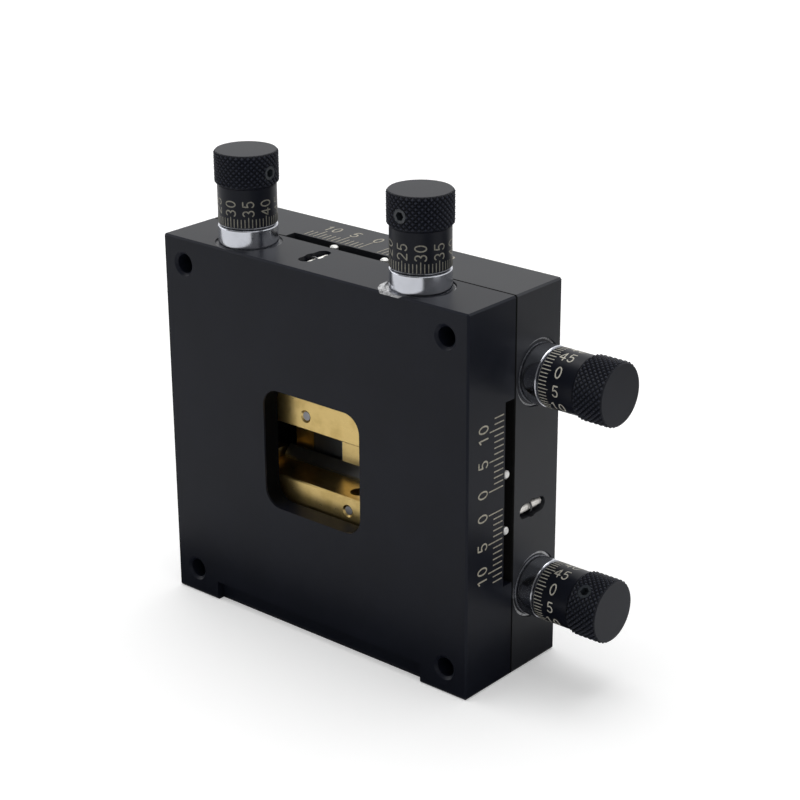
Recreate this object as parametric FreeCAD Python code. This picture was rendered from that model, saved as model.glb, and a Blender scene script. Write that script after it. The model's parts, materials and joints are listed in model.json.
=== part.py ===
"""Four-jaw adjustable slit: two identical crossed slit units bolted back to back.

Each unit is a square housing with a window. Two brass carriages slide on two rods inside it, one on
each side of the optical axis. Each carries a steel knife and is driven by its own lead screw, which
a graduated thimble with a knurled cap turns from outside. An extension spring pulls each carriage
towards its own wall, which takes up the play of its screw.

The front unit opens and closes the slit in height, and its knobs are on top. The rear unit is the
same unit turned half round about a diagonal, so it sets the width and its knobs are on the right.

Frame: millimetres, origin on the optical axis at the front face, X right, Y away from the viewer,
Z up. A unit is built as the front one: u = X, depth from its outer face = Y, travel = Z.
"""
import FreeCAD
import Part
import math
import os

# Housing
SIDE = 65.0
UNIT_DEPTH = 11.7
FACE_WALL = 3.3
SIDE_WALL = 4.0
END_WALL = 8.5
CAVITY_CORNER_R = 2.0
OUTER_CHAMFER = 0.3
SEAM_CHAMFER = 0.15

# Window
WINDOW = 21.0
WINDOW_CORNER_R = 3.2

# Relief along the foot of the outer face
RELIEF_LENGTH = 46.0
RELIEF_HEIGHT = 3.5
RELIEF_DEPTH = 1.4

# Corner holes and the four screws that join the units
CORNER_INSET = 4.5
SCREW_R = 2.0
TAP_DRILL_R = 1.65
CORNER_MOUTH_R = 2.1
CORNER_SCREW_LENGTH = 12.0
CORNER_CLEARANCE_R = 2.25
SCREW_HEAD_R = 3.5
SCREW_HEAD_HEIGHT = 4.0
SCREW_SOCKET_FLATS = 3.0
SCREW_SOCKET_DEPTH = 2.0
COUNTERBORE_R = 3.6
COUNTERBORE_DEPTH = 4.4

# Carriage, measured from the line of its knife edge
TRAVEL = 12.0
CARRIAGE_END_GAP = 1.0
CARRIAGE_FACE_GAP = 0.4
CARRIAGE_SEAM_GAP = 0.4
BAR_INNER = 1.95
BAR_OUTER = 10.5
END_BLOCK_INNER = 0.4
END_BLOCK_START = 16.0
CARRIAGE_CHAMFER = 0.2

# Knife
KNIFE_HALF_LENGTH = 15.4
KNIFE_THICKNESS = 1.3
KNIFE_DEPTH = 6.4
KNIFE_BEVEL = 1.5
KNIFE_LAND = 0.1
KNIFE_SEAT_GAP = 0.1
KNIFE_SCREW_U = 9.0
KNIFE_SCREW_FROM_EDGE = 4.3
KNIFE_SCREW_R = 1.0
KNIFE_SCREW_HEAD_R = 1.9
KNIFE_SCREW_LENGTH = 4.0

# Guide rods
ROD_FROM_CARRIAGE_END = 3.3
ROD_FROM_CARRIAGE_BACK = 3.8
ROD_R = 1.5
ROD_SEAT = 3.0
ROD_PLAY = 0.02

# Lead screws
SCREW_AXIS_U = 18.4
LEAD_R = 1.5
LEAD_PLAY = 0.05
LEAD_CLEARANCE = 0.2
LEAD_SEAT = 3.0
LEAD_END_GAP = 0.2
COLLAR_R = 2.5
COLLAR_WIDTH = 1.0
COLLAR_PLAY = 0.1

# Sleeve, thimble and cap, heights measured out from the end wall
SPOTFACE_R = 5.6
SPOTFACE_DEPTH = 0.3
SLEEVE_R = 4.93
SLEEVE_HEIGHT = 3.1
SLEEVE_CHAMFER = 0.15
BARREL_R = 3.8
BARREL_TOP = 9.0
SHANK_R = 3.0
THIMBLE_R = 4.87
THIMBLE_GAP = 0.12
THIMBLE_TOP = 9.95
THIMBLE_WALL = 0.85
THIMBLE_ROOF = 0.75
THIMBLE_BEVEL = 0.3
CAP_R = 5.3
CAP_TOP = 15.55
CAP_LOWER_CHAMFER = 0.5
CAP_UPPER_CHAMFER = 0.35
CAP_ROOF = 1.0
SET_SCREW_HEIGHT = 12.3
SET_SCREW_R = 1.15
SET_SCREW_LENGTH = 3.55
SET_SCREW_SOCKET_FLATS = 1.3
SET_SCREW_SOCKET_DEPTH = 1.3

# Extension springs, their cross pins and the pockets that hold the outer pins
SPRING_U = 4.5
SPRING_FROM_CARRIAGE_FRONT = 3.0
SPRING_R = 1.2
SPRING_WIRE = 0.35
SPRING_BORE_R = 1.55
SPRING_HOOK_PLAY = 0.1
PIN_R = 0.75
CARRIAGE_PIN_FROM_BAR = 2.4
CARRIAGE_PIN_RECESS = 0.25
CARRIAGE_PIN_TO_KNIFE = 0.8
CARRIAGE_PIN_MOUTH_R = 1.1
POCKET_LENGTH = 6.6
POCKET_HALF_WIDTH = 1.25
POCKET_DEPTH = 2.0
WALL_PIN_LENGTH = 6.0

# Index pins and the slots that they show through
INDEX_PIN_R = 0.7
INDEX_FROM_CARRIAGE_BACK = 1.1
INDEX_FROM_EDGE = 2.0
INDEX_SEAT = 3.5
INDEX_RECESS = 0.15
INDEX_TIP_CHAMFER = 0.2
INDEX_SLOT_SIDE_GAP = 0.2
INDEX_SLOT_END_GAP = 1.8

# Readings of the four scales as set, and the turn of each cap's set screw about its own axis
READING = {"upper": 1.3, "lower": 4.4, "left": 4.15, "right": 2.7}
SET_SCREW_ANGLE = {"upper": 3.0, "lower": 271.0, "left": 220.0, "right": 40.0}

# Worked out from the sizes above
HALF = SIDE / 2
CAVITY_HALF_U = HALF - SIDE_WALL
CAVITY_END = HALF - END_WALL
CORNER = HALF - CORNER_INSET
CARRIAGE_HALF_LENGTH = CAVITY_HALF_U - CARRIAGE_END_GAP
CARRIAGE_FRONT = FACE_WALL + CARRIAGE_FACE_GAP
CARRIAGE_BACK = UNIT_DEPTH - CARRIAGE_SEAM_GAP
SCREW_AXIS_DEPTH = UNIT_DEPTH / 2
ROD_U = CARRIAGE_HALF_LENGTH - ROD_FROM_CARRIAGE_END
ROD_DEPTH = CARRIAGE_BACK - ROD_FROM_CARRIAGE_BACK
SPRING_DEPTH = CARRIAGE_FRONT + SPRING_FROM_CARRIAGE_FRONT
CARRIAGE_PIN_END = CARRIAGE_BACK - KNIFE_THICKNESS - CARRIAGE_PIN_TO_KNIFE
INDEX_DEPTH = CARRIAGE_BACK - INDEX_FROM_CARRIAGE_BACK
INDEX_SLOT_START = INDEX_DEPTH - INDEX_PIN_R - INDEX_SLOT_SIDE_GAP
WALL_PIN_TRAVEL = HALF - POCKET_DEPTH + PIN_R
SLEEVE_INNER_END = CAVITY_END + COLLAR_WIDTH + 2 * COLLAR_PLAY

U_AXIS = FreeCAD.Vector(1, 0, 0)
DEPTH_AXIS = FreeCAD.Vector(0, 1, 0)
TRAVEL_AXIS = FreeCAD.Vector(0, 0, 1)
CENTRE = FreeCAD.Vector(0, 0, 0)


def point(u, depth, travel):
    """A point in the unit's own frame."""
    return FreeCAD.Vector(u, depth, travel)


def block(u, depth, travel):
    """A box from three (low, high) pairs."""
    return Part.makeBox(
        u[1] - u[0], depth[1] - depth[0], travel[1] - travel[0], point(u[0], depth[0], travel[0])
    )


def rod(radius, start, axis, length):
    """A round bar, or the cutter of a round hole, from its start point along an axis."""
    return Part.makeCylinder(radius, length, start, axis)


def along_travel(radius, u, depth, low, high):
    """A round bar parallel to the travel."""
    return rod(radius, point(u, depth, low), TRAVEL_AXIS, high - low)


def along_depth(radius, u, travel, low, high):
    """A round bar parallel to the optical axis."""
    return rod(radius, point(u, low, travel), DEPTH_AXIS, high - low)


def joined(shapes):
    """One solid out of several that touch or overlap."""
    first, *rest = shapes
    return first.multiFuse(rest).removeSplitter()


def turned(profile, u, depth):
    """A solid of revolution about a line parallel to the travel, from (radius, height) points."""
    corners = [point(u + radius, depth, height) for radius, height in profile]
    face = Part.Face(Part.makePolygon(corners + corners[:1]))
    return face.revolve(point(u, depth, 0), TRAVEL_AXIS, 360)


def hexagon_bar(flats, start, axis, length):
    """A hexagonal bar, the shape of a socket, from its start point along an axis."""
    outline = Part.makePolygon(
        [
            FreeCAD.Vector(
                flats / math.sqrt(3) * math.cos(math.radians(60 * side)),
                flats / math.sqrt(3) * math.sin(math.radians(60 * side)),
                0,
            )
            for side in range(7)
        ]
    )
    bar = Part.Face(outline).extrude(FreeCAD.Vector(0, 0, length))
    bar.Placement = FreeCAD.Placement(start, FreeCAD.Rotation(TRAVEL_AXIS, axis))
    return bar


def upright_edges(shape):
    """Straight edges parallel to the optical axis."""
    return [
        edge
        for edge in shape.Edges
        if abs(edge.tangentAt(edge.FirstParameter).dot(DEPTH_AXIS)) > 0.999
        and isinstance(edge.Curve, Part.Line)
    ]


def rounded_block(u, depth, travel, radius):
    """A box whose four edges parallel to the optical axis are rounded."""
    shape = block(u, depth, travel)
    return shape.makeFillet(radius, upright_edges(shape))


def mirrored_pairs(u):
    """The two places at equal distances on either side of the optical axis."""
    return (-u, u)


def outline_chamfer(shape):
    """Chamfers on the outside edges of a housing: the outer face and corners, and the seam."""

    def runs_round(edge, depth):
        box = edge.BoundBox
        return abs(box.YMin - depth) < 1e-6 and abs(box.YMax - depth) < 1e-6

    shape = shape.makeChamfer(OUTER_CHAMFER, upright_edges(shape))
    front = [edge for edge in shape.Edges if runs_round(edge, 0)]
    shape = shape.makeChamfer(OUTER_CHAMFER, front)
    seam = [edge for edge in shape.Edges if runs_round(edge, UNIT_DEPTH)]
    return shape.makeChamfer(SEAM_CHAMFER, seam)


def spring_pocket(u, towards):
    """Cutter for the oblong pocket of an outer spring pin and the bore that leads in to it."""
    outside = towards * (HALF + 1)
    floor = towards * (HALF - POCKET_DEPTH)
    inside = towards * (CAVITY_END - 1)
    low, high = sorted((floor, outside))
    half_straight = POCKET_LENGTH / 2 - POCKET_HALF_WIDTH
    pocket = joined(
        [
            along_travel(POCKET_HALF_WIDTH, u, SPRING_DEPTH - half_straight, low, high),
            along_travel(POCKET_HALF_WIDTH, u, SPRING_DEPTH + half_straight, low, high),
            block(
                (u - POCKET_HALF_WIDTH, u + POCKET_HALF_WIDTH),
                (SPRING_DEPTH - half_straight, SPRING_DEPTH + half_straight),
                (low, high),
            ),
        ]
    )
    bore = along_travel(SPRING_BORE_R, u, SPRING_DEPTH, *sorted((inside, outside)))
    return pocket.fuse(bore)


def corner_places():
    """The centres of the four corner holes, as (u, travel)."""
    return [(u, travel) for u in mirrored_pairs(CORNER) for travel in mirrored_pairs(CORNER)]


def tapped_corner(u, travel):
    """Cutter for a corner hole of the front unit: chamfered, tapped, and tapped again for its screw."""
    screw_end = 2 * UNIT_DEPTH - COUNTERBORE_DEPTH - CORNER_SCREW_LENGTH
    mouth_depth = CORNER_MOUTH_R - TAP_DRILL_R
    mouth = Part.makeCone(
        CORNER_MOUTH_R, TAP_DRILL_R, mouth_depth, point(u, 0, travel), DEPTH_AXIS
    )
    drilled = along_depth(TAP_DRILL_R, u, travel, 0, screw_end)
    engaged = along_depth(SCREW_R, u, travel, screw_end, UNIT_DEPTH)
    return joined([mouth, drilled, engaged])


def counterbored_corner(u, travel):
    """Cutter for a corner hole of the rear unit, where a screw head sinks in."""
    head = along_depth(COUNTERBORE_R, u, travel, 0, COUNTERBORE_DEPTH)
    shank = along_depth(CORNER_CLEARANCE_R, u, travel, 0, UNIT_DEPTH)
    return head.fuse(shank)


def housing(corner_cutter):
    """One housing, open towards the seam, with the corner holes that it is given."""
    shape = outline_chamfer(block((-HALF, HALF), (0, UNIT_DEPTH), (-HALF, HALF)))
    cavity = rounded_block(
        (-CAVITY_HALF_U, CAVITY_HALF_U),
        (FACE_WALL, UNIT_DEPTH + 1),
        (-CAVITY_END, CAVITY_END),
        CAVITY_CORNER_R,
    )
    window = rounded_block(
        (-WINDOW / 2, WINDOW / 2), (-1, FACE_WALL + 1), (-WINDOW / 2, WINDOW / 2), WINDOW_CORNER_R
    )
    relief = block(
        (-RELIEF_LENGTH / 2, RELIEF_LENGTH / 2), (-1, RELIEF_DEPTH), (-HALF - 1, RELIEF_HEIGHT - HALF)
    )
    slot_reach = TRAVEL + INDEX_FROM_EDGE + INDEX_SLOT_END_GAP
    index_slot = block(
        (CAVITY_HALF_U - 1, HALF + 1), (INDEX_SLOT_START, UNIT_DEPTH + 1), (-slot_reach, slot_reach)
    )
    cutters = [cavity, window, relief, index_slot]
    cutters += [spring_pocket(-SPRING_U, 1), spring_pocket(SPRING_U, -1)]
    cutters += [corner_cutter(*place) for place in corner_places()]
    for u in mirrored_pairs(SCREW_AXIS_U):
        cutters += [
            along_travel(SHANK_R, u, SCREW_AXIS_DEPTH, CAVITY_END - 1, HALF + 1),
            along_travel(SPOTFACE_R, u, SCREW_AXIS_DEPTH, HALF - SPOTFACE_DEPTH, HALF + 1),
            along_travel(
                LEAD_R + LEAD_PLAY, u, SCREW_AXIS_DEPTH, -CAVITY_END - LEAD_SEAT, 1 - CAVITY_END
            ),
        ]
    for u in mirrored_pairs(ROD_U):
        reach = CAVITY_END + ROD_SEAT
        cutters.append(along_travel(ROD_R, u, ROD_DEPTH, -reach, reach))
    return shape.cut(cutters)


def corner_screws():
    """The four socket head cap screws that join the units, as one group of solids."""
    head_base = 2 * UNIT_DEPTH - COUNTERBORE_DEPTH
    head_top = head_base + SCREW_HEAD_HEIGHT
    screws = []
    for u, travel in corner_places():
        shank = along_depth(SCREW_R, u, travel, head_base - CORNER_SCREW_LENGTH, head_base)
        head = along_depth(SCREW_HEAD_R, u, travel, head_base, head_top)
        socket = hexagon_bar(
            SCREW_SOCKET_FLATS,
            point(u, head_top - SCREW_SOCKET_DEPTH, travel),
            DEPTH_AXIS,
            SCREW_SOCKET_DEPTH + 1,
        )
        screws.append(shank.fuse(head).removeSplitter().cut(socket))
    return Part.makeCompound(screws)


def guide_rod(u):
    """One of the two rods that a unit's carriages slide on."""
    reach = CAVITY_END + ROD_SEAT
    return along_travel(ROD_R, u, ROD_DEPTH, -reach, reach)


def wall_pin(u, towards):
    """The pin across an oblong pocket, which holds a spring's outer hook."""
    start = SPRING_DEPTH - WALL_PIN_LENGTH / 2
    return along_depth(PIN_R, u, towards * WALL_PIN_TRAVEL, start, start + WALL_PIN_LENGTH)


def carriage_pin_from_edge():
    """How far a carriage's own spring pin lies from its knife edge."""
    return BAR_INNER + CARRIAGE_PIN_FROM_BAR


def extension_spring(reading):
    """A near spring: its close coils as a tube, with a hook round each of its two pins."""
    ends = (reading + carriage_pin_from_edge(), WALL_PIN_TRAVEL)
    hook_middle_r = PIN_R + SPRING_HOOK_PLAY + SPRING_WIRE / 2
    tube_low = ends[0] + hook_middle_r
    tube_high = ends[1] - hook_middle_r
    outer = along_travel(SPRING_R, -SPRING_U, SPRING_DEPTH, tube_low, tube_high)
    inner = along_travel(SPRING_R - SPRING_WIRE, -SPRING_U, SPRING_DEPTH, tube_low, tube_high)
    cap_low = along_travel(SPRING_R, -SPRING_U, SPRING_DEPTH, tube_low, tube_low + SPRING_WIRE)
    cap_high = along_travel(SPRING_R, -SPRING_U, SPRING_DEPTH, tube_high - SPRING_WIRE, tube_high)
    hooks = [
        Part.makeTorus(
            hook_middle_r, SPRING_WIRE / 2, point(-SPRING_U, SPRING_DEPTH, end), DEPTH_AXIS
        )
        for end in ends
    ]
    return outer.cut(inner).multiFuse([cap_low, cap_high] + hooks)


def carriage():
    """A brass carriage on the near side, with its knife edge on the plane of zero travel."""
    bar = block(
        (-CARRIAGE_HALF_LENGTH, CARRIAGE_HALF_LENGTH),
        (CARRIAGE_FRONT, CARRIAGE_BACK),
        (END_BLOCK_INNER, BAR_OUTER),
    )
    step = block(
        (-END_BLOCK_START, END_BLOCK_START),
        (CARRIAGE_FRONT - 1, CARRIAGE_BACK + 1),
        (END_BLOCK_INNER - 1, BAR_INNER),
    )
    shape = bar.cut(step)
    outer_edges = [
        edge
        for edge in shape.Edges
        if edge.BoundBox.YMax < CARRIAGE_FRONT + 1e-6 and edge.BoundBox.XLength > CAVITY_HALF_U / 2
    ]
    shape = shape.makeChamfer(CARRIAGE_CHAMFER, outer_edges)
    seat_u = KNIFE_HALF_LENGTH + KNIFE_SEAT_GAP
    knife_seat = block(
        (-seat_u, seat_u),
        (CARRIAGE_BACK - KNIFE_THICKNESS, CARRIAGE_BACK + 1),
        (BAR_INNER - 1, KNIFE_DEPTH + KNIFE_SEAT_GAP),
    )
    through = (END_BLOCK_INNER - 1, BAR_OUTER + 1)
    pin_at = carriage_pin_from_edge()
    mouth_depth = CARRIAGE_PIN_MOUTH_R - PIN_R
    cutters = [
        knife_seat,
        along_travel(LEAD_R + LEAD_PLAY, -SCREW_AXIS_U, SCREW_AXIS_DEPTH, *through),
        along_travel(LEAD_R + LEAD_CLEARANCE, SCREW_AXIS_U, SCREW_AXIS_DEPTH, *through),
        along_travel(SPRING_BORE_R, -SPRING_U, SPRING_DEPTH, *through),
        along_depth(PIN_R, -SPRING_U, pin_at, CARRIAGE_FRONT, CARRIAGE_PIN_END),
        Part.makeCone(
            CARRIAGE_PIN_MOUTH_R,
            PIN_R,
            mouth_depth,
            point(-SPRING_U, CARRIAGE_FRONT, pin_at),
            DEPTH_AXIS,
        ),
    ]
    cutters += [along_travel(ROD_R + ROD_PLAY, u, ROD_DEPTH, *through) for u in mirrored_pairs(ROD_U)]
    cutters += [
        along_depth(
            KNIFE_SCREW_R,
            u,
            KNIFE_SCREW_FROM_EDGE,
            CARRIAGE_BACK - KNIFE_SCREW_LENGTH,
            CARRIAGE_BACK,
        )
        for u in mirrored_pairs(KNIFE_SCREW_U)
    ]
    for side in (-1, 1):
        start = point(side * (CARRIAGE_HALF_LENGTH - INDEX_SEAT), INDEX_DEPTH, INDEX_FROM_EDGE)
        cutters.append(rod(INDEX_PIN_R, start, U_AXIS * side, INDEX_SEAT + 1))
    return shape.cut(cutters)


def knife_screw_profile(play):
    """The (radius, height) outline of a countersunk screw or its hole, head upwards at zero."""
    head_drop = KNIFE_SCREW_HEAD_R - KNIFE_SCREW_R
    return [
        (0, 0),
        (KNIFE_SCREW_HEAD_R + play, 0),
        (KNIFE_SCREW_R + play, -head_drop),
        (KNIFE_SCREW_R + play, -KNIFE_SCREW_LENGTH),
        (0, -KNIFE_SCREW_LENGTH),
    ]


def countersunk(u, play):
    """A countersunk screw, or its hole, let into the back of the knife."""
    shape = turned(knife_screw_profile(play), 0, 0)
    shape.Placement = FreeCAD.Placement(
        point(u, CARRIAGE_BACK, KNIFE_SCREW_FROM_EDGE), FreeCAD.Rotation(TRAVEL_AXIS, DEPTH_AXIS)
    )
    return shape


def knife():
    """A steel knife: flat towards the seam, bevelled on the outer side to a fine edge."""
    face = CARRIAGE_BACK - KNIFE_THICKNESS
    outline = [
        (CARRIAGE_BACK, 0),
        (CARRIAGE_BACK, KNIFE_DEPTH),
        (face, KNIFE_DEPTH),
        (face, KNIFE_BEVEL),
        (CARRIAGE_BACK - KNIFE_LAND, 0),
    ]
    corners = [point(-KNIFE_HALF_LENGTH, depth, travel) for depth, travel in outline]
    blade = Part.Face(Part.makePolygon(corners + corners[:1])).extrude(
        U_AXIS * (2 * KNIFE_HALF_LENGTH)
    )
    return blade.cut([countersunk(u, 0) for u in mirrored_pairs(KNIFE_SCREW_U)])


def knife_screws():
    """The two countersunk screws that hold a knife, as one group of solids."""
    screws = []
    for u in mirrored_pairs(KNIFE_SCREW_U):
        socket = hexagon_bar(
            KNIFE_SCREW_R * 1.2,
            point(u, CARRIAGE_BACK - KNIFE_SCREW_R, KNIFE_SCREW_FROM_EDGE),
            DEPTH_AXIS,
            KNIFE_SCREW_R + 1,
        )
        screws.append(countersunk(u, 0).cut(socket))
    return Part.makeCompound(screws)


def carriage_pin():
    """The cross pin that a carriage's spring hooks on, seen as a bright dot in the brass."""
    return along_depth(
        PIN_R,
        -SPRING_U,
        carriage_pin_from_edge(),
        CARRIAGE_FRONT + CARRIAGE_PIN_RECESS,
        CARRIAGE_PIN_END,
    )


def index_pin(side):
    """The pointer that shows a carriage's place in the slot of the housing, its tip broken all round."""
    start = CARRIAGE_HALF_LENGTH - INDEX_SEAT
    length = HALF - INDEX_RECESS - INDEX_TIP_CHAMFER - start
    out = U_AXIS * side
    foot = point(side * start, INDEX_DEPTH, INDEX_FROM_EDGE)
    tip = Part.makeCone(
        INDEX_PIN_R, INDEX_PIN_R - INDEX_TIP_CHAMFER, INDEX_TIP_CHAMFER, foot + out * length, out
    )
    return joined([rod(INDEX_PIN_R, foot, out, length), tip])


def lead_screw(u):
    """A lead screw: plain bar at its thread's diameter, with the collar that the sleeve holds in."""
    low = -CAVITY_END - LEAD_SEAT + LEAD_END_GAP
    high = HALF + CAP_TOP - CAP_ROOF
    collar_low = CAVITY_END + COLLAR_PLAY
    bar = along_travel(LEAD_R, u, SCREW_AXIS_DEPTH, low, high)
    collar = along_travel(COLLAR_R, u, SCREW_AXIS_DEPTH, collar_low, collar_low + COLLAR_WIDTH)
    return bar.fuse(collar).removeSplitter()


def sleeve(u):
    """The fixed sleeve: a shank in the wall, a bright collar outside and a barrel in the thimble."""
    seat = HALF - SPOTFACE_DEPTH
    collar_top = HALF + SLEEVE_HEIGHT
    bore = LEAD_R + LEAD_PLAY
    profile = [
        (bore, SLEEVE_INNER_END),
        (SHANK_R, SLEEVE_INNER_END),
        (SHANK_R, seat),
        (SLEEVE_R, seat),
        (SLEEVE_R, collar_top - SLEEVE_CHAMFER),
        (SLEEVE_R - SLEEVE_CHAMFER, collar_top),
        (BARREL_R, collar_top),
        (BARREL_R, HALF + BARREL_TOP),
        (bore, HALF + BARREL_TOP),
    ]
    return turned(profile, u, SCREW_AXIS_DEPTH)


def thimble(u):
    """The graduated thimble, a thin cup that turns over the sleeve's barrel."""
    low = HALF + SLEEVE_HEIGHT + THIMBLE_GAP
    high = HALF + THIMBLE_TOP
    inner = THIMBLE_R - THIMBLE_WALL
    profile = [
        (inner, low),
        (THIMBLE_R - THIMBLE_BEVEL, low),
        (THIMBLE_R, low + THIMBLE_BEVEL),
        (THIMBLE_R, high),
        (LEAD_R, high),
        (LEAD_R, high - THIMBLE_ROOF),
        (inner, high - THIMBLE_ROOF),
    ]
    return turned(profile, u, SCREW_AXIS_DEPTH)


def cap(u, angle):
    """The knurled cap, a blind sleeve on the end of the lead screw with a set screw hole."""
    low = HALF + THIMBLE_TOP
    high = HALF + CAP_TOP
    profile = [
        (LEAD_R, low),
        (CAP_R - CAP_LOWER_CHAMFER, low),
        (CAP_R, low + CAP_LOWER_CHAMFER),
        (CAP_R, high - CAP_UPPER_CHAMFER),
        (CAP_R - CAP_UPPER_CHAMFER, high),
        (0, high),
        (0, high - CAP_ROOF),
        (LEAD_R, high - CAP_ROOF),
    ]
    hole = rod(
        SET_SCREW_R, point(u, SCREW_AXIS_DEPTH, HALF + SET_SCREW_HEIGHT), radial(angle), CAP_R + 1
    )
    bore = along_travel(LEAD_R, u, SCREW_AXIS_DEPTH, low, high - CAP_ROOF)
    return turned(profile, u, SCREW_AXIS_DEPTH).cut(hole.cut(bore))


def radial(angle):
    """The direction out of a knob at an angle in degrees about its axis, from u towards depth."""
    return point(math.cos(math.radians(angle)), math.sin(math.radians(angle)), 0)


def set_screw(u, angle):
    """The set screw that locks a cap on its lead screw."""
    out = radial(angle)
    foot = point(u, SCREW_AXIS_DEPTH, HALF + SET_SCREW_HEIGHT)
    body = rod(SET_SCREW_R, foot, out, LEAD_R + SET_SCREW_LENGTH)
    shaft = along_travel(LEAD_R, u, SCREW_AXIS_DEPTH, HALF, HALF + CAP_TOP)
    socket_start = foot + out * (LEAD_R + SET_SCREW_LENGTH - SET_SCREW_SOCKET_DEPTH)
    socket = hexagon_bar(SET_SCREW_SOCKET_FLATS, socket_start, out, SET_SCREW_SOCKET_DEPTH + 1)
    return body.cut([shaft, socket])


def carriage_pieces(name, reading, side):
    """The pieces that slide together on the near side, by node name."""
    pieces = {
        f"{name}_carriage": carriage(),
        f"{name}_knife": knife(),
        f"{name}_knife_screws": knife_screws(),
        f"{name}_carriage_pin": carriage_pin(),
        f"{name}_index_pin": index_pin(side),
    }
    for shape in pieces.values():
        shape.translate(TRAVEL_AXIS * reading)
    pieces[f"{name}_spring"] = extension_spring(reading)
    pieces[f"{name}_wall_pin"] = wall_pin(-SPRING_U, 1)
    return pieces


def knob_pieces(name, u):
    """The pieces of one knob and its lead screw, by node name."""
    angle = SET_SCREW_ANGLE[name]
    return {
        f"{name}_sleeve": sleeve(u),
        f"{name}_lead_screw": lead_screw(u),
        f"{name}_thimble": thimble(u),
        f"{name}_cap": cap(u, angle),
        f"{name}_set_screw": set_screw(u, angle),
    }


def unit_pieces(near, far, rods):
    """Everything inside and on one housing, in the unit's own frame."""
    pieces = carriage_pieces(near, READING[near], 1)
    opposite = carriage_pieces(far, READING[far], -1)
    for shape in opposite.values():
        shape.rotate(CENTRE, DEPTH_AXIS, 180)
    pieces.update(opposite)
    pieces.update(knob_pieces(near, -SCREW_AXIS_U))
    pieces.update(knob_pieces(far, SCREW_AXIS_U))
    for name, u in zip(rods, mirrored_pairs(ROD_U)):
        pieces[name] = guide_rod(u)
    return pieces


def turn_to_rear(shape):
    """Turn a unit's piece half round about the diagonal, so that its outer face is at the back."""
    shape.rotate(CENTRE, U_AXIS + TRAVEL_AXIS, 180)
    shape.translate(DEPTH_AXIS * (2 * UNIT_DEPTH))


def model():
    """Every piece of the slit, by node name."""
    front = unit_pieces("upper", "lower", ("front_left_rod", "front_right_rod"))
    front["front_housing"] = housing(tapped_corner)
    rear = unit_pieces("right", "left", ("rear_lower_rod", "rear_upper_rod"))
    rear["rear_housing"] = housing(counterbored_corner)
    for shape in rear.values():
        turn_to_rear(shape)
    return {**front, **rear, "corner_screws": corner_screws()}


def main():
    """Write one STEP file for each piece."""
    os.makedirs("parts", exist_ok=True)
    for name, shape in model().items():
        if not shape.isValid() or shape.Volume <= 0:
            raise ValueError(f"{name} is not a valid solid")
        shape.exportStep(os.path.join("parts", f"{name}.step"))


main()
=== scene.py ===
"""Looks of a four-jaw adjustable slit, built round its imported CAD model.

The housings, carriages, knives, rods and screws keep their CAD meshes and get their finishes here. The
turned, knurled and coiled pieces are made again as smooth meshes, and the engraved scales are added.

Pieces are built in millimetres in the frame of their own unit: u along the row of knobs, w inwards
from the unit's outer face, v along the travel towards the knobs. Unit.matrix() takes them to metres.
"""

import json
import logging
import math
from collections.abc import Callable, Mapping, Sequence
from dataclasses import dataclass
from enum import Enum

import bpy
from bpy.types import ID, Material, Mesh, Node, NodeSocket, NodeTree, Object
from mathutils import Matrix, Vector

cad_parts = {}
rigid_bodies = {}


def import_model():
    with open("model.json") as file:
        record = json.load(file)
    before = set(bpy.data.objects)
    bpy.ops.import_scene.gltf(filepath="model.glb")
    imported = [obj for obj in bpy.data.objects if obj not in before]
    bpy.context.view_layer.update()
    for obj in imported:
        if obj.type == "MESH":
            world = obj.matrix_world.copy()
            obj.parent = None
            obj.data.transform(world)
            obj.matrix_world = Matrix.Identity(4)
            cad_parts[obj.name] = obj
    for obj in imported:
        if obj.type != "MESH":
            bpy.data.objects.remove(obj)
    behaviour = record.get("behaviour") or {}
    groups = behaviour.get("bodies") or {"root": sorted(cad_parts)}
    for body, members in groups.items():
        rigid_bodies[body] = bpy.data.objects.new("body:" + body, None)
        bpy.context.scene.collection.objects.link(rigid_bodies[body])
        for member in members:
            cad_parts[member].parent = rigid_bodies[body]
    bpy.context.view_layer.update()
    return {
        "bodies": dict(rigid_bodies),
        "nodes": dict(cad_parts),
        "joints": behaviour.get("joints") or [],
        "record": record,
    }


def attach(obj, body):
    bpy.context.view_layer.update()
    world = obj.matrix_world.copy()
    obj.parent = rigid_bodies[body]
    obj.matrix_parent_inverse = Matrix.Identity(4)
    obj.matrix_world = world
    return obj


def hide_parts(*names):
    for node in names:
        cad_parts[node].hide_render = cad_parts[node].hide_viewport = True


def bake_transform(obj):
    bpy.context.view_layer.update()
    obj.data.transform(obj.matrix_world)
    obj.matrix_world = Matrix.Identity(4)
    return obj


log = logging.getLogger("adjustable_slit")

MM = 0.001
Point = tuple[float, float]
Triple = tuple[float, float, float]
Colour = Triple
Settings = Mapping[str, object]
Inputs = Mapping[str | int, object]


class Slot(Enum):
    """The record's material slots."""

    BLACK_ALUMINIUM = "black_aluminium"
    BRASS = "brass"
    GROUND_STEEL = "ground_steel"
    BRIGHT_STEEL = "bright_steel"
    SPRING_STEEL = "spring_steel"
    POLISHED_STEEL = "polished_steel"
    BLACK_STEEL = "black_steel"


def sum_of(operation: str, mirrored: bool = False) -> Callable[["Wire", "Wire | float"], "Wire"]:
    """One of Wire's operators, as a Math node; mirrored puts the other value first."""

    def operator(self: "Wire", other: "Wire | float") -> "Wire":
        return self.graph.math(operation, *((other, self) if mirrored else (self, other)))

    return operator


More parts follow.
